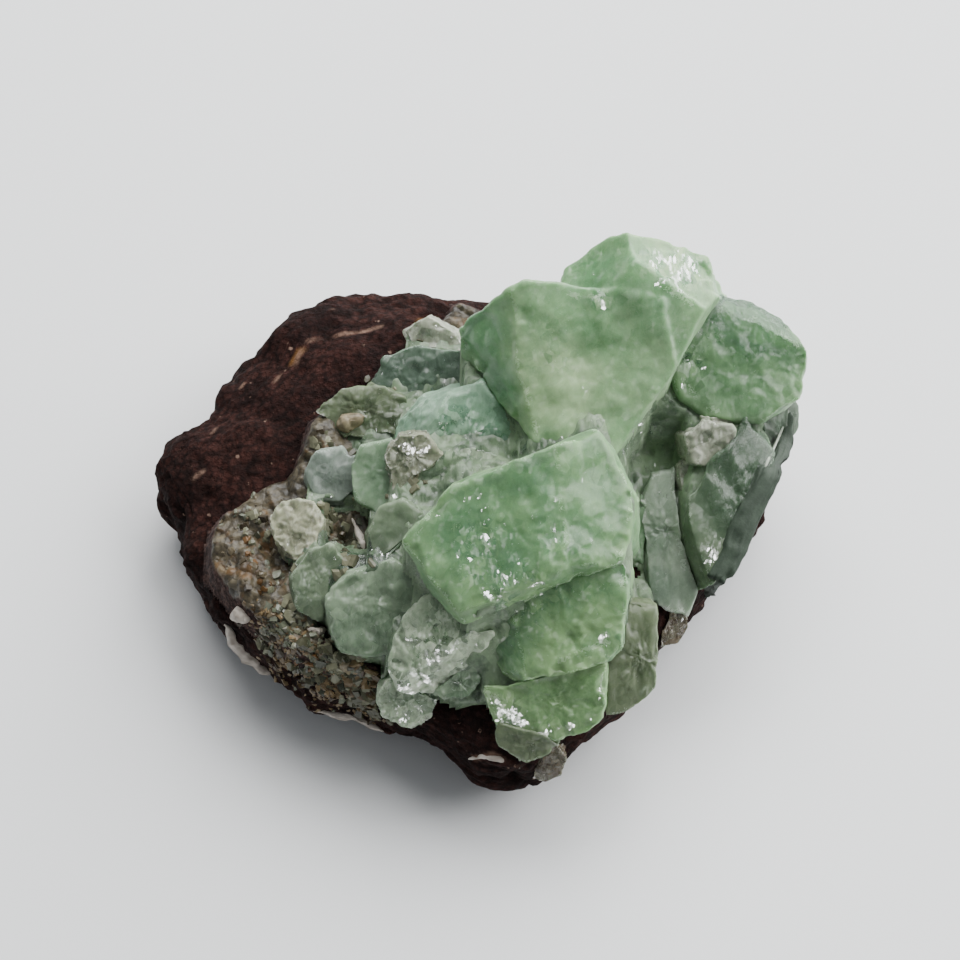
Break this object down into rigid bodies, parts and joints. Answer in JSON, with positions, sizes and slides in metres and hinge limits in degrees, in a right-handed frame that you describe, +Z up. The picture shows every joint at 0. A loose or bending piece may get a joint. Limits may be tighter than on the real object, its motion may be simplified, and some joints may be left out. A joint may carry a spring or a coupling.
{
  "type": "apophyllite specimen",
  "caption": "Hand specimen of green apophyllite: blocky translucent crystals and a fine druse grown on a dark basalt rock, lying on its flat underside.",
  "frame": {"origin": "middle of the specimen's box, on the plane of the flat underside it rests on", "axes": "+X towards the tall blocky crystals, along the rock's length; +Z up, away from the resting face; -Y is the side the large faces lean towards"},
  "size_m": [0.0666, 0.0554, 0.0321],
  "materials": {
    "green_crystal": "translucent pale green, glassy with frosted edges and cloudy veils",
    "pale_crystal": "translucent pale yellow-green, sparkling broken surface",
    "teal_crystal": "clear dark teal green, glassy",
    "grey_green_crystal": "translucent grey green, satin",
    "cream_crystal": "cloudy cream, rough",
    "brown_crystal": "smoky brown, glassy",
    "druse": "grey-brown crust of fine sparkling crystals",
    "basalt": "dark maroon-brown, granular, with pale flecks"
  },
  "bodies": {
    "root": {"crystal_centre": "green_crystal", "crystal_upper_pair": "green_crystal", "crystal_lower": "green_crystal", "crystal_bottom": "green_crystal", "crystal_right": "green_crystal", "crystal_left_pale": "pale_crystal", "crystal_pale_ledge": "pale_crystal", "crystal_pale_chip": "pale_crystal", "crystal_white_chip": "pale_crystal", "crystal_clear_chip": "pale_crystal", "crystal_teal": "teal_crystal", "crystal_teal_upper": "teal_crystal", "crystal_valley_upper": "teal_crystal", "crystal_valley_lower": "teal_crystal", "crystal_left_dark": "teal_crystal", "crystal_round_green": "teal_crystal", "crystal_round_upper": "teal_crystal", "crystal_left_grey": "grey_green_crystal", "crystal_left_prism": "grey_green_crystal", "crystal_blue": "grey_green_crystal", "crystal_olive": "grey_green_crystal", "crystal_right_long": "grey_green_crystal", "crystal_column_pair": "grey_green_crystal", "crystal_lower_right": "grey_green_crystal", "crystal_far_right": "grey_green_crystal", "crystal_toe": "grey_green_crystal", "crystal_green_tooth": "grey_green_crystal", "crystal_cream": "cream_crystal", "crystal_tan": "cream_crystal", "crystal_brown_foot": "brown_crystal", "crystal_smoky_foot": "brown_crystal", "crystal_olive_foot": "brown_crystal", "druse_crust": "druse", "druse_patch_1": "druse", "druse_patch_2": "druse", "basalt_rock": "basalt"}
  },
  "joints": []
}
